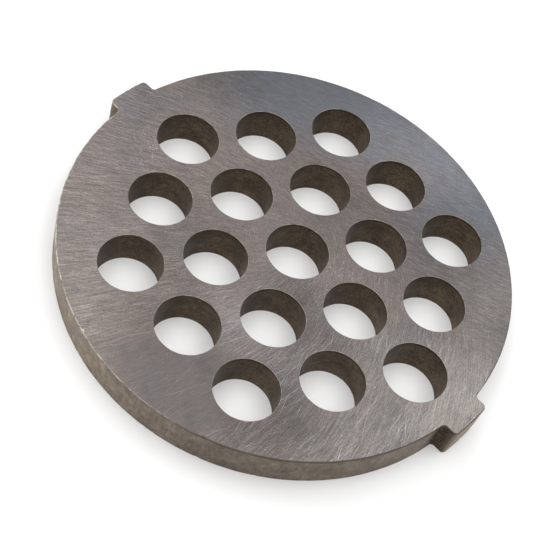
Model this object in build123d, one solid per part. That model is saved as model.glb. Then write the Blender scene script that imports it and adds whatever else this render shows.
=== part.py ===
from build123d import *
import math
import os

# Grinder plate: a flat round steel plate that meat is pressed through.
# The hole pattern is a hexagonal lattice round a centre bore, and two square tabs
# on the rim key the plate into the notches of the grinder's barrel.
#
# Frame, in millimetres: the origin is on the round rim's axis at the back face,
# +Z points out through the ground cutting face and +X runs out through one tab.

# ---- plate blank ----
plate_diameter = 54.0      # round rim that sits in the barrel
plate_thickness = 4.8      # between the two ground faces
rim_edge_radius = 0.15     # rounding where the rim meets each ground face

# ---- keying tabs ----
tab_count = 2              # equally spaced round the rim
tab_width = 5.6            # across the flanks
tab_reach = 1.7            # how far the end stands out from the rim
tab_corner_radius = 0.6    # outer corners, seen from above
tab_root_radius = 0.4      # inner corners, where a flank meets the rim

# ---- holes ----
hole_diameter = 7.5        # each cutting hole
bore_diameter = 7.5        # centre bore, which turns on the feed screw's stud
hole_pitch = 9.8           # between the centres of neighbouring holes
hole_rings = 2             # hexagonal rings of holes round the centre bore
pattern_turn = -2.3        # degrees from the tabs' axis to the nearest row of holes
pattern_shift_x = 0.8      # this plate's drilling sits a little off the rim's centre,
pattern_shift_y = 0.3      # the bore and the holes all together

# ---- sizes worked out from those above ----
plate_radius = plate_diameter / 2
tab_end_radius = plate_radius + tab_reach
tab_root_depth = plate_radius / 4      # how far a tab's block runs in under the rim
pattern_centre = Vector(pattern_shift_x, pattern_shift_y)


def tab_angles():
    """Directions of the tabs, in degrees from +X."""
    return [360 * i / tab_count for i in range(tab_count)]


def cutting_hole_centres():
    """Centres of the holes on the hexagonal rings round the bore, without the bore."""
    turn = math.radians(pattern_turn)
    along = Vector(math.cos(turn), math.sin(turn)) * hole_pitch
    across = along.rotate(Axis.Z, 60)
    points = []
    steps = range(-hole_rings, hole_rings + 1)
    for i in steps:
        for j in steps:
            inside = abs(i + j) <= hole_rings
            is_bore = i == 0 and j == 0
            if inside and not is_bore:
                points.append(pattern_centre + along * i + across * j)
    return points


def is_tab_corner(vertex):
    """True for the outer corners of a tab's end."""
    return math.hypot(vertex.X, vertex.Y) > plate_radius + tab_reach / 2


def is_tab_root(vertex):
    """True for the inner corners between a tab's flank and the round rim."""
    on_rim = abs(math.hypot(vertex.X, vertex.Y) - plate_radius) < tab_reach / 4
    return on_rim and not is_tab_corner(vertex)


def tab_outline(angle):
    """One tab: a straight-sided block, its end an arc concentric with the plate."""
    block_length = tab_root_depth + tab_reach
    block = Pos(tab_end_radius - block_length / 2, 0) * Rectangle(block_length, tab_width)
    return Rot(0, 0, angle) * (block & Circle(tab_end_radius))


def blank_outline():
    """Outline of the blank: the round rim with the tabs standing out of it."""
    outline = Sketch() + Circle(plate_radius)
    for angle in tab_angles():
        outline += tab_outline(angle)
    outline = fillet(outline.vertices().filter_by(is_tab_corner), tab_corner_radius)
    outline = fillet(outline.vertices().filter_by(is_tab_root), tab_root_radius)
    return outline


def rounded_blank():
    """Solid blank, its rim and tabs rounded where they meet the ground faces."""
    blank = extrude(blank_outline(), amount=plate_thickness)
    upright = blank.edges().filter_by(Axis.Z)
    return fillet(blank.edges() - upright, rim_edge_radius)


def drilled(plate, centre, diameter):
    """The plate with one straight hole through it, its edges left sharp."""
    cutter = Cylinder(diameter / 2, 2 * plate_thickness)
    return plate - Pos(centre.X, centre.Y, plate_thickness / 2) * cutter


def grinder_plate():
    """The whole plate: blank, centre bore and cutting holes."""
    plate = drilled(rounded_blank(), pattern_centre, bore_diameter)
    for centre in cutting_hole_centres():
        plate = drilled(plate, centre, hole_diameter)
    return plate


os.makedirs("parts", exist_ok=True)
plate = grinder_plate()
plate.label = "grinder_plate"
export_step(plate, "parts/grinder_plate.step")
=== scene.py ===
import math

import bpy
from mathutils import Matrix, Vector, noise
from mathutils.geometry import delaunay_2d_cdt


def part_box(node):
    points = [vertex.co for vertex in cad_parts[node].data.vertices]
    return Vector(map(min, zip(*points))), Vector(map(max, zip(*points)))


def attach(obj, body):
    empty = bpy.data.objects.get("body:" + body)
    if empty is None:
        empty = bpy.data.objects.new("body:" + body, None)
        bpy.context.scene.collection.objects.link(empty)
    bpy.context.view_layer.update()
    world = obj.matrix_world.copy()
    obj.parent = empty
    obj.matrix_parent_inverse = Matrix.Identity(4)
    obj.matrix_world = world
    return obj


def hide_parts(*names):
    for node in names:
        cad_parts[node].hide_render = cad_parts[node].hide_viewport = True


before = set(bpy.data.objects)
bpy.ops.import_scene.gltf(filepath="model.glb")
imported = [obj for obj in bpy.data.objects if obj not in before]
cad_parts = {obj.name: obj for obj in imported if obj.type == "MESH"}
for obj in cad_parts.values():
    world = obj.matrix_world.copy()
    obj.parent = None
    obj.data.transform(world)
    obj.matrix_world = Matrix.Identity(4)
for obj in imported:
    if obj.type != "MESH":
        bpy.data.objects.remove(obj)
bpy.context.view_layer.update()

# A round steel grinder plate, lying on a pale floor with its ground face up.
# Everything is in metres, in the plate's own frame: +X runs out through one tab.

MM = 0.001
PLATE_NODE = "grinder_plate"
low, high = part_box(PLATE_NODE)

# ---- the plate's form, the same as its solid ----
top_z = high.z
bottom_z = low.z
top_mm = top_z / MM
tab_end_radius = high.x
plate_radius = 27.0 * MM
tab_half_width = 2.8 * MM
tab_corner_radius = 0.6 * MM
tab_root_radius = 0.4 * MM
tab_angles = (0.0, math.pi)
hole_radius = 3.75 * MM
hole_pitch = 9.8 * MM
hole_rings = 2
pattern_turn = math.radians(-2.3)
pattern_centre = Vector((0.8, 0.3)) * MM

# ---- fineness of the mesh ----
rim_step = 0.16 * MM
hole_segments = 120
wall_rows = 14
rounding_rows = 3

# ---- edges and surface wear ----
rim_edge_radius = 0.13 * MM
rim_edge_uneven = 0.04 * MM
hole_edge_radius = 0.05 * MM
hole_edge_uneven = 0.03 * MM
least_rim_edge = 0.04 * MM
least_hole_edge = 0.02 * MM
# noise scales per millimetre, and the slices of the noise that the two edges follow
rim_edge_scale = 0.9
rim_edge_slice = 3.7
hole_edge_scale = 1.3
hole_edge_slice = 9.1
rim_dent_scale = 2.2
bore_dent_scale = 1.4
bore_ring_scale = 4.5
rim_base_depth = 0.01 * MM
rim_roughness_depth = 0.025 * MM
flank_roughness_depth = 0.05 * MM
# how far past the rim's radius the wall turns from the rim's roughness to the flanks'
flank_blend = 0.4 * MM
bore_roughness_depth = 0.012 * MM
# nicks in the rim's upper edge: direction from +X in degrees, half width, extra depth
rim_nicks = (
    (-103.6, 0.14 * MM, 0.20 * MM),
    (-65.9, 0.22 * MM, 0.18 * MM),
    (-51.9, 0.14 * MM, 0.10 * MM),
)

# ---- material slots of the mesh ----
GROUND, RIM, BORE, RIM_EDGE, HOLE_EDGE = range(5)

# ---- scratches of the ground faces ----
# direction, from +X, in which the arched scratches open away from the bore
arch_axis = math.radians(58.0)
# layers of arched scratches: turn in degrees, fineness along and across, noise detail, strength
arched_layers = (
    (0.0, 3.0, 85.0, 5.0, 0.6),
    (3.0, 1.3, 52.0, 5.0, 0.5),
    (-24.0, 3.0, 80.0, 4.0, 0.4),
)
# the straight layers that take their place on the +Y side, in the same terms
straight_layers = (
    (-18.0, 0.45, 6.5, 5.0, 0.7),
    (-38.0, 0.6, 6.0, 4.0, 0.5),
)
# single hair lines painted as bright glints: turn in degrees, fineness along and across, noise level they
# start at
hair_layers = (
    (-9.0, 1.1, 95.0, 0.64),
    (17.0, 1.6, 90.0, 0.65),
)
scratch_roughness = 0.8
hair_ramp = 0.1
hair_brightness = 0.35
# direction of their side, and the millimetres along it at which they come in and are alone
straight_axis = math.radians(90.0)
straight_start = 5.0
straight_full = 12.0
# strength of all scratches up to the plate's middle, and from the reach on, which is in
# millimetres along tint_axis
scratch_strength_middle = 1.5
scratch_strength_far = 0.85
scratch_strength_reach = 24.0
# places where the scratches nearly fade out: x, y and reach in millimetres, then their strength
smooth_zones = (
    (4.0, -23.0, 10.0, 0.35),
    (-15.0, 19.0, 10.0, 0.55),
)
# clusters of tiny nicks painted as bright glints: x, y and reach in millimetres, then how dense they are
glinting_nick_patches = (
    (6.6, 2.3, 4.0, 0.13),
    (-20.0, -2.5, 4.5, 0.12),
)

# ---- noises of the steel: scales per millimetre, and depths of the bumps ----
mottle_scale = 0.10
patch_scale = 0.30
ground_grain_scale = 7.0
wall_cloud_scale = 0.35
wall_blotch_scale = 1.3
wall_grain_scale = 5.5
wall_grit_scale = 3.6
edge_grain_scale = 6.0
rim_wear_scale = 1.2
hole_wear_scale = 0.8
ground_bump_depth = 0.006 * MM
grain_bump_depth = 0.03 * MM
blotch_bump_depth = 0.05 * MM
edge_bump_depth = 0.02 * MM

# ---- colours, linear ----
WARM_STEEL = (0.173, 0.149, 0.140, 1)
COOL_STEEL = (0.145, 0.151, 0.169, 1)
NEUTRAL_STEEL = (0.161, 0.153, 0.143, 1)
STAINED_STEEL = (0.128, 0.120, 0.112, 1)
# the glint colour paints glints on the ground faces' hair lines and nicks
GLINT_COLOUR = (0.62, 0.60, 0.58, 1)
RIM_LIGHT = (0.201, 0.162, 0.124, 1)
RIM_DARK = (0.131, 0.102, 0.076, 1)
RIM_STAIN = (0.085, 0.063, 0.045, 1)
BORE_LIGHT = (0.122, 0.088, 0.056, 1)
BORE_DARK = (0.058, 0.041, 0.026, 1)
BORE_STAIN = (0.036, 0.025, 0.016, 1)
GRIT_LIGHT = (0.175, 0.125, 0.070, 1)
EDGE_DARK = (0.10, 0.080, 0.065, 1)
# the edge highlight colour is a painted highlight on the rim's edge
EDGE_HIGHLIGHT = (0.55, 0.50, 0.44, 1)
BURR_DARK = (0.10, 0.08, 0.06, 1)
BURR_LIGHT = (0.36, 0.32, 0.27, 1)

# ---- where the steel's tone and tint change ----
# direction, from +X, of the bluer side, and where along it the blue starts and is full
tint_axis = math.radians(88.0)
tint_start = 9.0
tint_full = 25.0
# the ground face turns neutral towards the +X tab: the x where it starts and is full, and how far
near_tab_start = 14.0
near_tab_full = 27.0
near_tab_share = 0.5
# direction of the rim's bright edge, which carries a painted highlight, and where along it the highlight
# starts and is full
bright_edge_axis = math.radians(-140.0)
bright_edge_start = 8.0
bright_edge_full = 22.0
# the walls get painted shade just under the top face, except on the bright edge's side: where along that
# direction the shade fades and is gone, how dark it is, and its start and full depth
lip_start = 4.0
lip_full = 16.0
lip_darkest = 0.5
lip_shade_start = 0.45
lip_shade_full = 0.2
# walls that face this direction are lighter, which stands in for light the lamps don't give:
# two cosines of the angle from it, then the brightness at each
bright_side_axis = math.radians(-125.0)
RIM_SIDE = (0.52, 1.0, 1.0, 1.65)
BORE_SIDE = (-0.3, 0.95, 0.90, 1.28)
# lighter and darker areas of the ground faces, matched to the photograph, so that they hold both
# uneven polish and painted light and shade: x, y and reach in millimetres, then brightness at the middle
polish_and_painted_light_spots = (
    (0.0, 25.0, 14.0, 1.45),
    (-13.0, -24.0, 13.0, 1.15),
    (28.0, -1.0, 9.0, 1.20),
    (25.0, 2.0, 9.0, 1.15),
    (-25.0, -12.0, 6.0, 1.12),
    (6.0, -21.0, 15.0, 0.72),
    (15.0, -17.0, 9.0, 0.70),
    (3.6, -3.8, 4.0, 0.80),
    (4.0, -12.0, 6.0, 1.28),
    (-6.0, -17.0, 8.0, 0.88),
    (-24.0, 13.0, 8.0, 0.84),
    (-11.0, 18.0, 9.0, 1.10),
    (9.0, 13.0, 14.0, 0.82),
    (0.0, 5.5, 5.0, 0.90),
    (-15.0, 7.0, 7.0, 1.08),
    (-7.0, -8.0, 9.0, 0.86),
    (9.0, -5.5, 8.0, 0.74),
    (18.0, 7.0, 6.0, 0.86),
    (25.0, 12.0, 6.0, 0.86),
)
# bluer and browner areas of the ground faces: x, y and reach in millimetres, then the shift to blue
tint_patches = (
    (-19.0, 16.0, 12.0, 0.75),
    (0.0, 11.0, 8.0, -0.75),
    (23.0, 16.0, 9.0, -0.3),
)
# corners where the tabs meet the rim, darkened by dirt and painted shade: x, y and reach in millimetres,
# then brightness
grimy_shaded_roots = (
    (26.9, -3.2, 1.1, 0.15),
    (27.6, -2.6, 1.6, 0.25),
    (-26.9, -3.3, 2.2, 0.45),
)
# from this x on, in millimetres, the wall is the +X tab's end, ground brighter than the rest
ground_end_start = 28.25
ground_end_ramp = 0.1
ground_end_brightness = 1.6

# ---- stage ----
WORLD_LEVEL = (0.20, 0.20, 0.20, 1)
BACKDROP_RADIUS = 2.5
BACKDROP_HEIGHT = 1.2
BACKDROP_SEGMENTS = 64
FLOOR_COLOUR = (0.95, 0.95, 0.95, 1)
# share of plain white in the floor near the plate, and the millimetres over which it grows to all
FLOOR_GLOW_SHARE = 0.10
FLOOR_GLOW_START = 45.0
FLOOR_GLOW_END = 110.0
# how far the softboxes stand from the plate, in metres
softbox_distance = 0.6
# softboxes: name, azimuth from +X and elevation in degrees, size in metres, power in watts
softboxes = (
    ("overhead", 300.0, 80.0, 0.65, 3.35),
    ("right_box", 80.0, 52.0, 0.35, 0.75),
    ("left_box", 150.0, 52.0, 0.35, 0.68),
    ("low_left_box", 190.0, 28.0, 0.35, 0.70),
)

# ---- camera: the photograph's viewpoint ----
camera_aim = Vector((0.73, -2.69, 2.40)) * MM
camera_distance = 149.1 * MM
camera_azimuth = math.radians(-63.47)      # from +X
camera_elevation = math.radians(54.77)
camera_roll = math.radians(22.0)           # anticlockwise, seen from behind the camera
camera_lens = 84.1                         # millimetres, on the sensor below
camera_sensor = 36.0
camera_clip_near = 0.005
camera_clip_far = 10.0


# ---------------------------------------------------------------- outline

def arc(centre, radius, start, end, step):
    """Points on an arc and their outward normals, without the last point."""
    count = max(3, math.ceil(abs(end - start) * radius / step))
    points = []
    for i in range(count):
        angle = start + (end - start) * i / count
        normal = Vector((math.cos(angle), math.sin(angle)))
        points.append((centre + radius * normal, normal))
    return points


def straight(start, end, normal, step):
    """Points on a straight run, without the last point."""
    count = max(2, math.ceil((end - start).length / step))
    return [(start.lerp(end, i / count), normal) for i in range(count)]


def tab_run():
    """The outline round one tab at +X, from rim to rim, and the half angle it spans."""
    fine = rim_step / 2
    root_y = tab_half_width + tab_root_radius
    root_x = math.sqrt((plate_radius + tab_root_radius) ** 2 - root_y ** 2)
    corner_y = tab_half_width - tab_corner_radius
    corner_x = math.sqrt((tab_end_radius - tab_corner_radius) ** 2 - corner_y ** 2)
    root_angle = math.atan2(root_y, root_x)
    corner_angle = math.atan2(corner_y, corner_x)
    quarter = math.pi / 2

    # the roots are hollow, so their normals point back at the fillet's centre
    low_root = arc(Vector((root_x, -root_y)), tab_root_radius, math.pi - root_angle, quarter, fine)
    low_root = [(point, -normal) for point, normal in low_root]
    high_root = arc(Vector((root_x, root_y)), tab_root_radius, -quarter, root_angle - math.pi, fine)
    high_root = [(point, -normal) for point, normal in high_root]

    run = low_root
    low_side = Vector((root_x, -tab_half_width)), Vector((corner_x, -tab_half_width))
    high_side = Vector((corner_x, tab_half_width)), Vector((root_x, tab_half_width))
    run += straight(*low_side, Vector((0, -1)), fine)
    run += arc(Vector((corner_x, -corner_y)), tab_corner_radius, -quarter, -corner_angle, fine)
    run += arc(Vector((0, 0)), tab_end_radius, -corner_angle, corner_angle, fine)
    run += arc(Vector((corner_x, corner_y)), tab_corner_radius, corner_angle, quarter, fine)
    run += straight(*high_side, Vector((0, 1)), fine)
    run += high_root
    return run, root_angle


def turned(points, angle):
    """The same points and normals, turned about the plate's axis."""
    turn = Matrix.Rotation(angle, 2)
    return [(turn @ point, turn @ normal) for point, normal in points]


def rim_loop():
    """The closed outline of the plate: (point, outward normal) all the way round."""
    run, half_angle = tab_run()
    loop = []
    for i, angle in enumerate(tab_angles):
        next_angle = tab_angles[(i + 1) % len(tab_angles)]
        if next_angle <= angle:
            next_angle += 2 * math.pi
        loop += turned(run, angle)
        loop += arc(Vector((0, 0)), plate_radius, angle + half_angle, next_angle - half_angle, rim_step)
    return loop


def hole_centres():
    """Centres of the bore and the cutting holes on their hexagonal lattice."""
    along = Vector((math.cos(pattern_turn), math.sin(pattern_turn))) * hole_pitch
    across = Matrix.Rotation(math.radians(60), 2) @ along
    steps = range(-hole_rings, hole_rings + 1)
    places = [(i, j) for i in steps for j in steps if abs(i + j) <= hole_rings]
    return [pattern_centre + along * i + across * j for i, j in places]


def hole_loop(centre):
    """One hole's circle, clockwise, with normals that point out of the steel, towards its axis."""
    circle = arc(centre, hole_radius, 0, 2 * math.pi, 2 * math.pi * hole_radius / hole_segments)
    return [(point, -normal) for point, normal in reversed(circle)]


# ---------------------------------------------------------------- mesh

def wave(point, scale, height, octaves=4):
    """Smooth random value at a point of the plan, about -1 to 1, the same on every run."""
    place = Vector((point.x / MM * scale, point.y / MM * scale, height))
    return noise.fractal(place, 1.0, 2.0, octaves)


def rim_edge_size(point):
    """Rounding of the rim's edge at a point: uneven, and deep at the nicks."""
    size = rim_edge_radius + rim_edge_uneven * wave(point, rim_edge_scale, rim_edge_slice)
    direction = math.atan2(point.y, point.x)
    for degrees, half_width, depth in rim_nicks:
        away = abs(direction - math.radians(degrees)) * plate_radius
        size += depth * math.exp(-(away / half_width) ** 2)
    return max(size, least_rim_edge)


def hole_edge_size(point):
    """Rounding of a hole's edge at a point: a thin, uneven burnished line."""
    size = hole_edge_radius + hole_edge_uneven * wave(point, hole_edge_scale, hole_edge_slice)
    return max(size, least_hole_edge)


def rim_dent(point, z):
    """How far the rough rim lies under its nominal surface; the tabs' flanks are rougher."""
    on_tab = min(1.0, max(0.0, (point.length - plate_radius) / flank_blend))
    depth = rim_roughness_depth + (flank_roughness_depth - rim_roughness_depth) * on_tab
    value = wave(point, rim_dent_scale, z / MM * rim_dent_scale, 5)
    return rim_base_depth + depth * (0.5 + 0.5 * max(-1.0, min(1.0, value)))


def bore_dent(point, z):
    """How far a drilled wall lies under its nominal surface: faint drill rings and pitting."""
    value = wave(point, bore_dent_scale, z / MM * bore_ring_scale)
    return bore_roughness_depth * (0.5 + 0.5 * max(-1.0, min(1.0, value)))


class PlateMesh:
    """Collects the vertices and faces of the plate's mesh, with a material for each face."""

    def __init__(self):
        self.vertices = []
        self.faces = []
        self.face_materials = []
        self.top_loops = []
        self.bottom_loops = []

    def add_wall(self, loop, edge_size, dent, wall_material, edge_material):
        """A closed wall from the top face to the bottom face, rounded into both."""
        profile = []
        for i in range(rounding_rows + 1):
            profile.append(("top", i / rounding_rows))
        for i in range(1, wall_rows):
            profile.append(("wall", i / wall_rows))
        for i in range(rounding_rows, -1, -1):
            profile.append(("bottom", i / rounding_rows))

        rows = []
        for zone, part in profile:
            row = []
            for point, normal in loop:
                size = edge_size(point)
                inset, z = self.profile_point(zone, part, size)
                if zone == "wall" or part > 0:
                    fade = 1.0 if zone == "wall" else part
                    inset += dent(point, z) * fade
                place = point - normal * inset
                row.append(len(self.vertices))
                self.vertices.append((place.x, place.y, z))
            rows.append((zone, row))

        count = len(loop)
        for (zone, upper), (next_zone, lower) in zip(rows, rows[1:]):
            rounded = zone == next_zone and zone != "wall"
            for i in range(count):
                j = (i + 1) % count
                self.faces.append((upper[i], lower[i], lower[j], upper[j]))
                self.face_materials.append(edge_material if rounded else wall_material)
        self.top_loops.append(rows[0][1])
        self.bottom_loops.append(rows[-1][1])

    @staticmethod
    def profile_point(zone, part, size):
        """Inset from the nominal wall, and height, of one place on a wall's section."""
        if zone == "wall":
            return 0.0, top_z - size - (top_z - bottom_z - 2 * size) * part
        angle = part * math.pi / 2
        inset = size * (1 - math.sin(angle))
        drop = size * (1 - math.cos(angle))
        return inset, top_z - drop if zone == "top" else bottom_z + drop

    def add_flat(self, loops, facing_up):
        """The ground face between the first loop, outside, and the hole loops."""
        points = []
        origin = []
        outlines = []
        for loop in loops:
            # the rim runs anticlockwise already, and the holes are turned round to do so too
            ordered = loop if loop is loops[0] else loop[::-1]
            outlines.append([len(points) + i for i in range(len(ordered))])
            points += [Vector(self.vertices[index][:2]) / MM for index in ordered]
            origin += ordered
        _, _, triangles, came_from, _, inside = delaunay_2d_cdt(points, [], outlines, 1, 1e-6)
        for triangle, outlines_round_it in zip(triangles, inside):
            # steel lies inside the rim's outline alone; inside a hole's as well, it is open
            if outlines_round_it != [0]:
                continue
            corners = [origin[came_from[i][0]] for i in triangle]
            self.faces.append(tuple(corners if facing_up else reversed(corners)))
            self.face_materials.append(GROUND)

    def build(self, name):
        """The finished Blender object, its walls smooth and its ground faces flat."""
        mesh = bpy.data.meshes.new(name)
        mesh.from_pydata(self.vertices, [], self.faces)
        mesh.polygons.foreach_set("material_index", self.face_materials)
        mesh.polygons.foreach_set("use_smooth", [index != GROUND for index in self.face_materials])
        mesh.validate()
        mesh.update()
        plate = bpy.data.objects.new(name, mesh)
        bpy.context.scene.collection.objects.link(plate)
        return plate


def make_plate():
    """The plate: rim and tabs, bore and holes, and both ground faces."""
    builder = PlateMesh()
    builder.add_wall(rim_loop(), rim_edge_size, rim_dent, RIM, RIM_EDGE)
    for centre in hole_centres():
        builder.add_wall(hole_loop(centre), hole_edge_size, bore_dent, BORE, HOLE_EDGE)
    builder.add_flat(builder.top_loops, True)
    builder.add_flat(builder.bottom_loops, False)
    return builder.build("plate")


# ---------------------------------------------------------------- materials

class Shader:
    """Short names for building one material's nodes."""

    def __init__(self, name):
        self.material = bpy.data.materials.new(name)
        self.material.use_nodes = True
        self.tree = self.material.node_tree
        self.principled = self.tree.nodes["Principled BSDF"]

    def node(self, kind, inputs=None, **settings):
        """A new node; inputs are sockets to link from, or plain values."""
        made = self.tree.nodes.new(kind)
        for key, value in settings.items():
            setattr(made, key, value)
        for key, value in (inputs or {}).items():
            self.feed(made.inputs[key], value)
        return made

    def feed(self, socket, value):
        if isinstance(value, bpy.types.NodeSocket):
            self.tree.links.new(value, socket)
        else:
            socket.default_value = value

    def math(self, operation, a, b=0.0, clamp=False):
        return self.node("ShaderNodeMath", {0: a, 1: b}, operation=operation, use_clamp=clamp).outputs[0]

    def millimetres(self):
        """The place on the object, in millimetres."""
        place = self.node("ShaderNodeTexCoord").outputs["Object"]
        scaled = self.node("ShaderNodeVectorMath", {0: place}, operation="SCALE")
        scaled.inputs["Scale"].default_value = 1 / MM
        return scaled.outputs["Vector"]

    def noise(self, vector, scale, detail=4.0, roughness=0.55):
        inputs = {"Vector": vector, "Scale": scale, "Detail": detail, "Roughness": roughness}
        return self.node("ShaderNodeTexNoise", inputs).outputs["Fac"]

    def remap(self, value, low_in, high_in, low_out, high_out, clamp=True, smooth=False):
        inputs = {"Value": value, "From Min": low_in, "From Max": high_in}
        inputs.update({"To Min": low_out, "To Max": high_out})
        curve = "SMOOTHSTEP" if smooth else "LINEAR"
        made = self.node("ShaderNodeMapRange", inputs, clamp=clamp, interpolation_type=curve)
        return made.outputs["Result"]

    def around(self, place, centre, start, end, middle, outside, smooth=False):
        """A value that is middle up to one distance from a centre, and outside beyond another."""
        away = self.node("ShaderNodeVectorMath", {0: place, 1: centre}, operation="DISTANCE")
        return self.remap(away.outputs["Value"], start, end, middle, outside, smooth=smooth)

    def along(self, place, direction, start, end, low_out, high_out):
        """A value that goes from low_out to high_out between two distances along a direction."""
        inputs = {"Vector": place, "Angle": -direction}
        level = self.node("ShaderNodeVectorRotate", inputs, rotation_type="Z_AXIS")
        distance = self.node("ShaderNodeSeparateXYZ", {0: level.outputs[0]}).outputs["X"]
        return self.remap(distance, start, end, low_out, high_out)

    def mix(self, factor, a, b, blend="MIX"):
        made = self.node("ShaderNodeMix", data_type="RGBA", blend_type=blend)
        self.feed(made.inputs["Factor"], factor)
        self.feed(made.inputs["A"], a)
        self.feed(made.inputs["B"], b)
        return made.outputs["Result"]

    def toned(self, colour, tone):
        """The colour made lighter or darker by a factor."""
        grey = self.node("ShaderNodeCombineXYZ", {"X": tone, "Y": tone, "Z": tone}).outputs[0]
        return self.mix(1.0, colour, grey, "MULTIPLY")

    def stretched(self, vector, turn, scale):
        """The vector turned about Z, then scaled, to draw a noise out into streaks."""
        inputs = {"Vector": vector, "Angle": turn}
        rotated = self.node("ShaderNodeVectorRotate", inputs, rotation_type="Z_AXIS").outputs[0]
        scaled = self.node("ShaderNodeVectorMath", {0: rotated, 1: scale}, operation="MULTIPLY")
        return scaled.outputs["Vector"]

    def bump(self, height, strength, distance, normal=None):
        inputs = {"Height": height, "Strength": strength, "Distance": distance}
        if normal is not None:
            inputs["Normal"] = normal
        return self.node("ShaderNodeBump", inputs).outputs["Normal"]


def arch_coordinates(shader, place):
    """Coordinates along and across the arched grinding marks, in roots of a millimetre.

    They are the two parts of the square root of the place as a complex number, so the lines
    of one of them are parabolas that all bend round the bore.
    """
    centre = (pattern_centre.x / MM, pattern_centre.y / MM, 0)
    level = shader.node("ShaderNodeVectorRotate", {"Vector": place, "Center": centre, "Angle": -arch_axis},
                        rotation_type="Z_AXIS")
    level = shader.node("ShaderNodeVectorMath", {0: level.outputs[0], 1: centre}, operation="SUBTRACT")
    parts = shader.node("ShaderNodeSeparateXYZ", {0: level.outputs[0]})
    x, y = parts.outputs["X"], parts.outputs["Y"]
    flat = shader.node("ShaderNodeCombineXYZ", {"X": x, "Y": y})
    radius = shader.node("ShaderNodeVectorMath", {0: flat.outputs[0]}, operation="LENGTH").outputs["Value"]
    half_sum = shader.math("MULTIPLY", shader.math("ADD", radius, x), 0.5)
    half_difference = shader.math("MULTIPLY", shader.math("SUBTRACT", radius, x), 0.5)
    across = shader.math("SQRT", shader.math("MAXIMUM", half_sum, 0.0))
    along = shader.math("SQRT", shader.math("MAXIMUM", half_difference, 0.0))
    along = shader.math("MULTIPLY", along, shader.math("SIGN", y))
    return shader.node("ShaderNodeCombineXYZ", {"X": along, "Y": across}).outputs[0]


def scratches(shader, vector, layers):
    """Layers of fine streaks added up, lighter ones above 0 and darker ones below."""
    total = 0.0
    for turn, along, across, detail, strength in layers:
        streaks = shader.stretched(vector, math.radians(turn), (along, across, 1.0))
        layer = shader.noise(streaks, 1.0, detail, scratch_roughness)
        layer = shader.remap(layer, 0.2, 0.8, -strength, strength, False)
        total = shader.math("ADD", total, layer)
    return total


def hair_lines(shader, vector):
    """Sparse single lines of painted glint, 0 between them."""
    total = 0.0
    for turn, along, across, start in hair_layers:
        streaks = shader.stretched(vector, math.radians(turn), (along, across, 1.0))
        layer = shader.noise(streaks, 1.0, 2.0, 0.5)
        layer = shader.remap(layer, start, start + hair_ramp, 0.0, hair_brightness)
        total = shader.math("ADD", total, layer)
    return total


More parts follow.
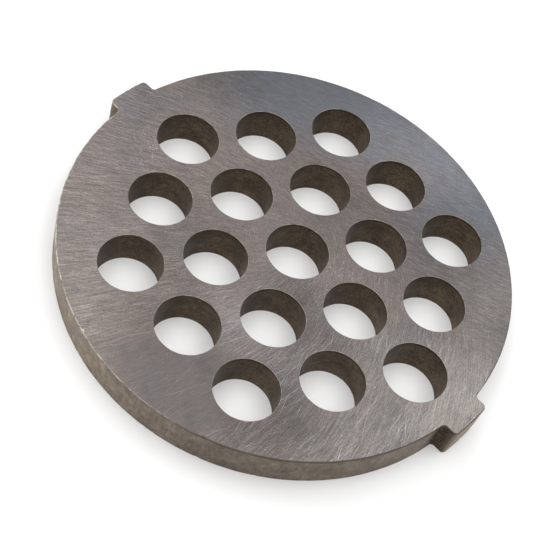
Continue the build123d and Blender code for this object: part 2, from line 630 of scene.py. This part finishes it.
def ground_steel():
    """Ground face: warm grey steel, fine scratches, soft mottling, tiny specks and hair lines painted as
    bright glints, and spots of painted light and shade.
    """
    shader = Shader("ground_steel")
    place = shader.millimetres()
    arches = arch_coordinates(shader, place)
    mottle = shader.noise(place, mottle_scale, 4.0, 0.6)
    patches = shader.noise(place, patch_scale, 4.0, 0.65)
    grain = shader.noise(place, ground_grain_scale, 2.0, 0.7)

    # tint: bluer towards tint_axis, neutral near the +X tab, stained in patches
    tint = shader.along(place, tint_axis, tint_start, tint_full, 0.0, 1.0)
    tint = shader.math("ADD", tint, shader.remap(mottle, 0.3, 0.7, -0.4, 0.4), clamp=True)
    for x, y, reach, shift in tint_patches:
        patch = shader.around(place, (x, y, top_mm), 0.2 * reach, reach, shift, 0.0, smooth=True)
        tint = shader.math("ADD", tint, patch, clamp=True)
    colour = shader.mix(tint, WARM_STEEL, COOL_STEEL)
    near_tab = shader.along(place, 0.0, near_tab_start, near_tab_full, 0.0, near_tab_share)
    colour = shader.mix(near_tab, colour, NEUTRAL_STEEL)
    colour = shader.mix(shader.remap(patches, 0.5, 0.72, 0.0, 0.7), colour, STAINED_STEEL)

    # scratches: arched ones, then straight ones on the +Y side, with grain over both
    straight_side = shader.along(place, straight_axis, straight_start, straight_full, 0.0, 1.0)
    arched_side = shader.math("SUBTRACT", 1.0, straight_side)
    arched = shader.math("MULTIPLY", scratches(shader, arches, arched_layers), arched_side)
    level = shader.math("MULTIPLY", scratches(shader, place, straight_layers), straight_side)
    marks = shader.math("ADD", arched, level)
    marks = shader.math("ADD", marks, shader.remap(grain, 0.2, 0.8, -0.35, 0.35, False))
    strength = shader.along(place, tint_axis, 0.0, scratch_strength_reach,
                            scratch_strength_middle, scratch_strength_far)
    strength = shader.math("MULTIPLY", strength, shader.remap(patches, 0.3, 0.7, 1.2, 0.8))
    for x, y, reach, factor in smooth_zones:
        calm = shader.around(place, (x, y, top_mm), 0.5 * reach, reach, factor, 1.0, smooth=True)
        strength = shader.math("MULTIPLY", strength, calm)
    marks = shader.math("MULTIPLY", marks, strength)

    # tone: marks of 1 double it, and marks of -1 halve it
    tone = shader.math("POWER", 2.0, marks)
    # the spots add painted light and shade to the tone, besides uneven polish
    for x, y, reach, factor in polish_and_painted_light_spots:
        spot = shader.around(place, (x, y, top_mm), 0.2 * reach, reach, factor, 1.0, smooth=True)
        tone = shader.math("MULTIPLY", tone, spot)
    colour = shader.toned(colour, tone)

    # painted glints: bright hair lines and nicks
    lines = shader.math("MULTIPLY", hair_lines(shader, arches), arched_side)
    glint_speckle = grain
    for x, y, reach, lift in glinting_nick_patches:
        denser = shader.around(place, (x, y, top_mm), 0.0, reach, lift, 0.0)
        glint_speckle = shader.math("ADD", glint_speckle, denser)
    glints = shader.math("ADD", lines, shader.remap(glint_speckle, 0.70, 0.80, 0.0, 0.8))
    glints = shader.math("MULTIPLY", glints, shader.remap(mottle, 0.35, 0.6, 0.25, 1.0))
    glints = shader.math("MULTIPLY", glints, strength, clamp=True)
    colour = shader.mix(glints, colour, GLINT_COLOUR)

    normal = shader.bump(marks, 0.35, ground_bump_depth)
    shader.feed(shader.principled.inputs["Base Color"], colour)
    shader.feed(shader.principled.inputs["Roughness"], shader.remap(marks, -1.0, 1.0, 0.44, 0.34))
    shader.feed(shader.principled.inputs["Normal"], normal)
    shader.principled.inputs["Metallic"].default_value = 1.0
    return shader.material


def clean_and_unshaded(shader, place):
    """1 on the open walls, less in the corners where the tabs meet the rim, which are darkened by dirt and
    painted shade.
    """
    plan = shader.node("ShaderNodeVectorMath", {0: place, 1: (1, 1, 0)}, operation="MULTIPLY")
    unshaded_clean = 1.0
    # each corner's darkening is partly dirt and partly painted shade
    for x, y, reach, factor in grimy_shaded_roots:
        corner_grime_and_shade = shader.around(plan.outputs["Vector"], (x, y, 0), 0.1 * reach, reach, factor, 1.0)
        unshaded_clean = shader.math("MULTIPLY", unshaded_clean, corner_grime_and_shade)
    return unshaded_clean


def weathered_steel(name, light, dark, stain, metallic, contrast, streak, bright_side):
    """Rough brownish steel for the rim and the drilled walls, mottled and grainy.

    contrast is that of the grain, and streak stretches the faint lines. bright_side says how
    much painted light the walls get that face bright_side_axis.
    """
    shader = Shader(name)
    place = shader.millimetres()
    cloud = shader.noise(place, wall_cloud_scale, 5.0, 0.65)
    blotch = shader.noise(place, wall_blotch_scale, 5.0, 0.7)
    grain = shader.noise(place, wall_grain_scale, 3.0, 0.8)
    lines = shader.noise(shader.stretched(place, 0.0, streak), 1.0, 4.0, 0.7)
    unshaded_clean = clean_and_unshaded(shader, place)
    parts = shader.node("ShaderNodeSeparateXYZ", {0: place})
    colour = shader.mix(shader.remap(cloud, 0.35, 0.65, 0.0, 1.0), light, dark)
    colour = shader.mix(shader.remap(blotch, 0.50, 0.70, 0.0, 0.7), colour, stain)

    # tone: grain and lines, then dirt and painted shade in the tab corners, the ground tab end, the
    # painted shade under the lip and the painted light on the side
    tone = shader.remap(grain, 0.25, 0.75, 1.0 - contrast, 1.0 + contrast, False)
    tone = shader.math("ADD", tone, shader.remap(lines, 0.3, 0.7, -0.3, 0.3, False))
    # dirt and painted shade in the tab corners
    tone = shader.math("MULTIPLY", tone, unshaded_clean)
    ground_end = shader.remap(parts.outputs["X"], ground_end_start, ground_end_start + ground_end_ramp,
                              1.0, ground_end_brightness)
    tone = shader.math("MULTIPLY", tone, ground_end)
    # painted shade just under the top face
    lip_shade = shader.along(place, bright_edge_axis, lip_start, lip_full, lip_darkest, 1.0)
    lip = shader.remap(parts.outputs["Z"], top_mm - lip_shade_start, top_mm - lip_shade_full,
                       1.0, lip_shade)
    tone = shader.math("MULTIPLY", tone, lip)
    # painted light on the walls that face bright_side_axis
    side = (math.cos(bright_side_axis), math.sin(bright_side_axis), 0)
    outward = shader.node("ShaderNodeTexCoord").outputs["Normal"]
    facing = shader.node("ShaderNodeVectorMath", {0: outward, 1: side}, operation="DOT_PRODUCT")
    tone = shader.math("MULTIPLY", tone, shader.remap(facing.outputs["Value"], *bright_side))
    colour = shader.toned(colour, tone)

    # light grit lies only in the tab corners, where dirt and painted shade darken the walls
    grit = shader.remap(shader.noise(place, wall_grit_scale, 3.0, 0.75), 0.48, 0.64, 0.0, 1.0)
    grit = shader.math("MULTIPLY", grit, shader.remap(unshaded_clean, 0.2, 0.9, 1.0, 0.0))
    colour = shader.mix(grit, colour, GRIT_LIGHT)
    normal = shader.bump(grain, 0.5, grain_bump_depth)
    normal = shader.bump(blotch, 0.4, blotch_bump_depth, normal)
    shader.feed(shader.principled.inputs["Base Color"], colour)
    shader.feed(shader.principled.inputs["Roughness"], shader.remap(grain, 0.3, 0.7, 0.48, 0.66))
    shader.feed(shader.principled.inputs["Metallic"], shader.remap(unshaded_clean, 0.2, 1.0, 0.95, metallic))
    shader.feed(shader.principled.inputs["Normal"], normal)
    return shader.material


def rim_edge_steel():
    """The rim's edge: a painted highlight line on the bright edge's side, broken up by wear, dull
    elsewhere.
    """
    shader = Shader("rim_edge")
    place = shader.millimetres()
    wear = shader.noise(place, rim_wear_scale, 4.0, 0.7)
    # painted highlight on the bright edge's side, broken up by wear
    highlight_side = shader.along(place, bright_edge_axis, bright_edge_start, bright_edge_full, 0.0, 1.0)
    bright = shader.math("MULTIPLY", shader.remap(wear, 0.40, 0.56, 0.25, 1.0), highlight_side)
    colour = shader.mix(bright, EDGE_DARK, EDGE_HIGHLIGHT)
    normal = shader.bump(shader.noise(place, edge_grain_scale), 0.25, edge_bump_depth)
    shader.feed(shader.principled.inputs["Base Color"], colour)
    shader.feed(shader.principled.inputs["Roughness"], shader.remap(wear, 0.3, 0.7, 0.5, 0.35))
    shader.feed(shader.principled.inputs["Normal"], normal)
    shader.principled.inputs["Metallic"].default_value = 0.8
    return shader.material


def hole_edge_steel():
    """The thin dull tan line round each hole, broken here and there."""
    shader = Shader("hole_edge")
    place = shader.millimetres()
    wear = shader.noise(place, hole_wear_scale, 4.0, 0.7)
    colour = shader.mix(shader.remap(wear, 0.38, 0.56, 0.1, 1.0), BURR_DARK, BURR_LIGHT)
    normal = shader.bump(shader.noise(place, edge_grain_scale), 0.25, edge_bump_depth)
    shader.feed(shader.principled.inputs["Base Color"], colour)
    shader.feed(shader.principled.inputs["Roughness"], shader.remap(wear, 0.3, 0.7, 0.6, 0.45))
    shader.feed(shader.principled.inputs["Normal"], normal)
    shader.principled.inputs["Metallic"].default_value = 0.2
    return shader.material


# ---------------------------------------------------------------- stage, light and camera

def direction_to(azimuth, elevation):
    """The unit vector at an azimuth from +X and an elevation."""
    level = math.cos(elevation)
    return Vector((math.cos(azimuth) * level, math.sin(azimuth) * level, math.sin(elevation)))


def floor_material():
    """Matt white that keeps the plate's soft shadow and shows plain white further out."""
    shader = Shader("pale_floor")
    shader.principled.inputs["Base Color"].default_value = FLOOR_COLOUR
    shader.principled.inputs["Roughness"].default_value = 1.0
    shader.principled.inputs["Specular IOR Level"].default_value = 0.0
    place = shader.millimetres()
    distance = shader.node("ShaderNodeVectorMath", {0: place}, operation="LENGTH").outputs["Value"]
    share = shader.remap(distance, FLOOR_GLOW_START, FLOOR_GLOW_END, FLOOR_GLOW_SHARE, 1.0)
    share = shader.math("MULTIPLY", share, seen_directly(shader))
    glow = shader.node("ShaderNodeEmission")
    surfaces = {0: share, 1: shader.principled.outputs[0], 2: glow.outputs[0]}
    mix = shader.node("ShaderNodeMixShader", surfaces)
    shader.feed(shader.tree.nodes["Material Output"].inputs["Surface"], mix.outputs[0])
    return shader.material


def seen_directly(shader):
    """1 for what the camera, a reflection or glass sees, 0 for light that is scattered."""
    path = shader.node("ShaderNodeLightPath")
    seen = shader.math("MAXIMUM", path.outputs["Is Camera Ray"], path.outputs["Is Glossy Ray"])
    return shader.math("MAXIMUM", seen, path.outputs["Is Transmission Ray"])


def make_floor():
    """A round pale floor with a low wall all round it, both plain white behind the plate."""
    vertices = []
    for z in (bottom_z, bottom_z + BACKDROP_HEIGHT):
        for i in range(BACKDROP_SEGMENTS):
            angle = 2 * math.pi * i / BACKDROP_SEGMENTS
            vertices.append((BACKDROP_RADIUS * math.cos(angle), BACKDROP_RADIUS * math.sin(angle), z))
    faces = [tuple(range(BACKDROP_SEGMENTS))]
    for i in range(BACKDROP_SEGMENTS):
        j = (i + 1) % BACKDROP_SEGMENTS
        faces.append((j, i, BACKDROP_SEGMENTS + i, BACKDROP_SEGMENTS + j))
    mesh = bpy.data.meshes.new("floor")
    mesh.from_pydata(vertices, [], faces)
    floor = bpy.data.objects.new("floor", mesh)
    bpy.context.scene.collection.objects.link(floor)
    mesh.materials.append(floor_material())


def make_world():
    """Soft grey studio surroundings above the backdrop."""
    world = bpy.data.worlds.new("studio")
    bpy.context.scene.world = world
    world.use_nodes = True
    world.node_tree.nodes["Background"].inputs["Color"].default_value = WORLD_LEVEL


def make_softbox(name, azimuth, elevation, size, power):
    """A square white area light that looks at the plate; azimuth is from +X."""
    lamp = bpy.data.lights.new(name, "AREA")
    lamp.size = size
    lamp.energy = power
    holder = bpy.data.objects.new(name, lamp)
    direction = direction_to(azimuth, elevation)
    holder.location = direction * softbox_distance
    holder.rotation_mode = "QUATERNION"
    holder.rotation_quaternion = direction.to_track_quat("Z", "Y")
    bpy.context.scene.collection.objects.link(holder)


def make_camera():
    """The camera at the photograph's viewpoint."""
    data = bpy.data.cameras.new("camera")
    data.lens = camera_lens
    data.sensor_width = camera_sensor
    data.clip_start = camera_clip_near
    data.clip_end = camera_clip_far
    camera = bpy.data.objects.new("camera", data)
    back = direction_to(camera_azimuth, camera_elevation)
    level = back.to_track_quat("Z", "Y").to_matrix()
    turned_level = level @ Matrix.Rotation(camera_roll, 3, "Z")
    camera.rotation_mode = "QUATERNION"
    camera.rotation_quaternion = turned_level.to_quaternion()
    camera.location = camera_aim + back * camera_distance
    bpy.context.scene.collection.objects.link(camera)
    bpy.context.scene.camera = camera


# ---------------------------------------------------------------- scene

plate = make_plate()
# in the order of the material slots
plate.data.materials.append(ground_steel())
plate.data.materials.append(weathered_steel(
    "rim_steel", RIM_LIGHT, RIM_DARK, RIM_STAIN,
    metallic=0.6, contrast=0.5, streak=(1.8, 1.8, 0.7), bright_side=RIM_SIDE))
plate.data.materials.append(weathered_steel(
    "bore_steel", BORE_LIGHT, BORE_DARK, BORE_STAIN,
    metallic=0.75, contrast=1.0, streak=(1.0, 1.0, 5.0), bright_side=BORE_SIDE))
plate.data.materials.append(rim_edge_steel())
plate.data.materials.append(hole_edge_steel())
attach(plate, "root")
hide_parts(PLATE_NODE)

make_floor()
make_world()
for name, azimuth, elevation, size, power in softboxes:
    make_softbox(name, math.radians(azimuth), math.radians(elevation), size, power)
make_camera()
bpy.context.scene.view_settings.view_transform = "Standard"
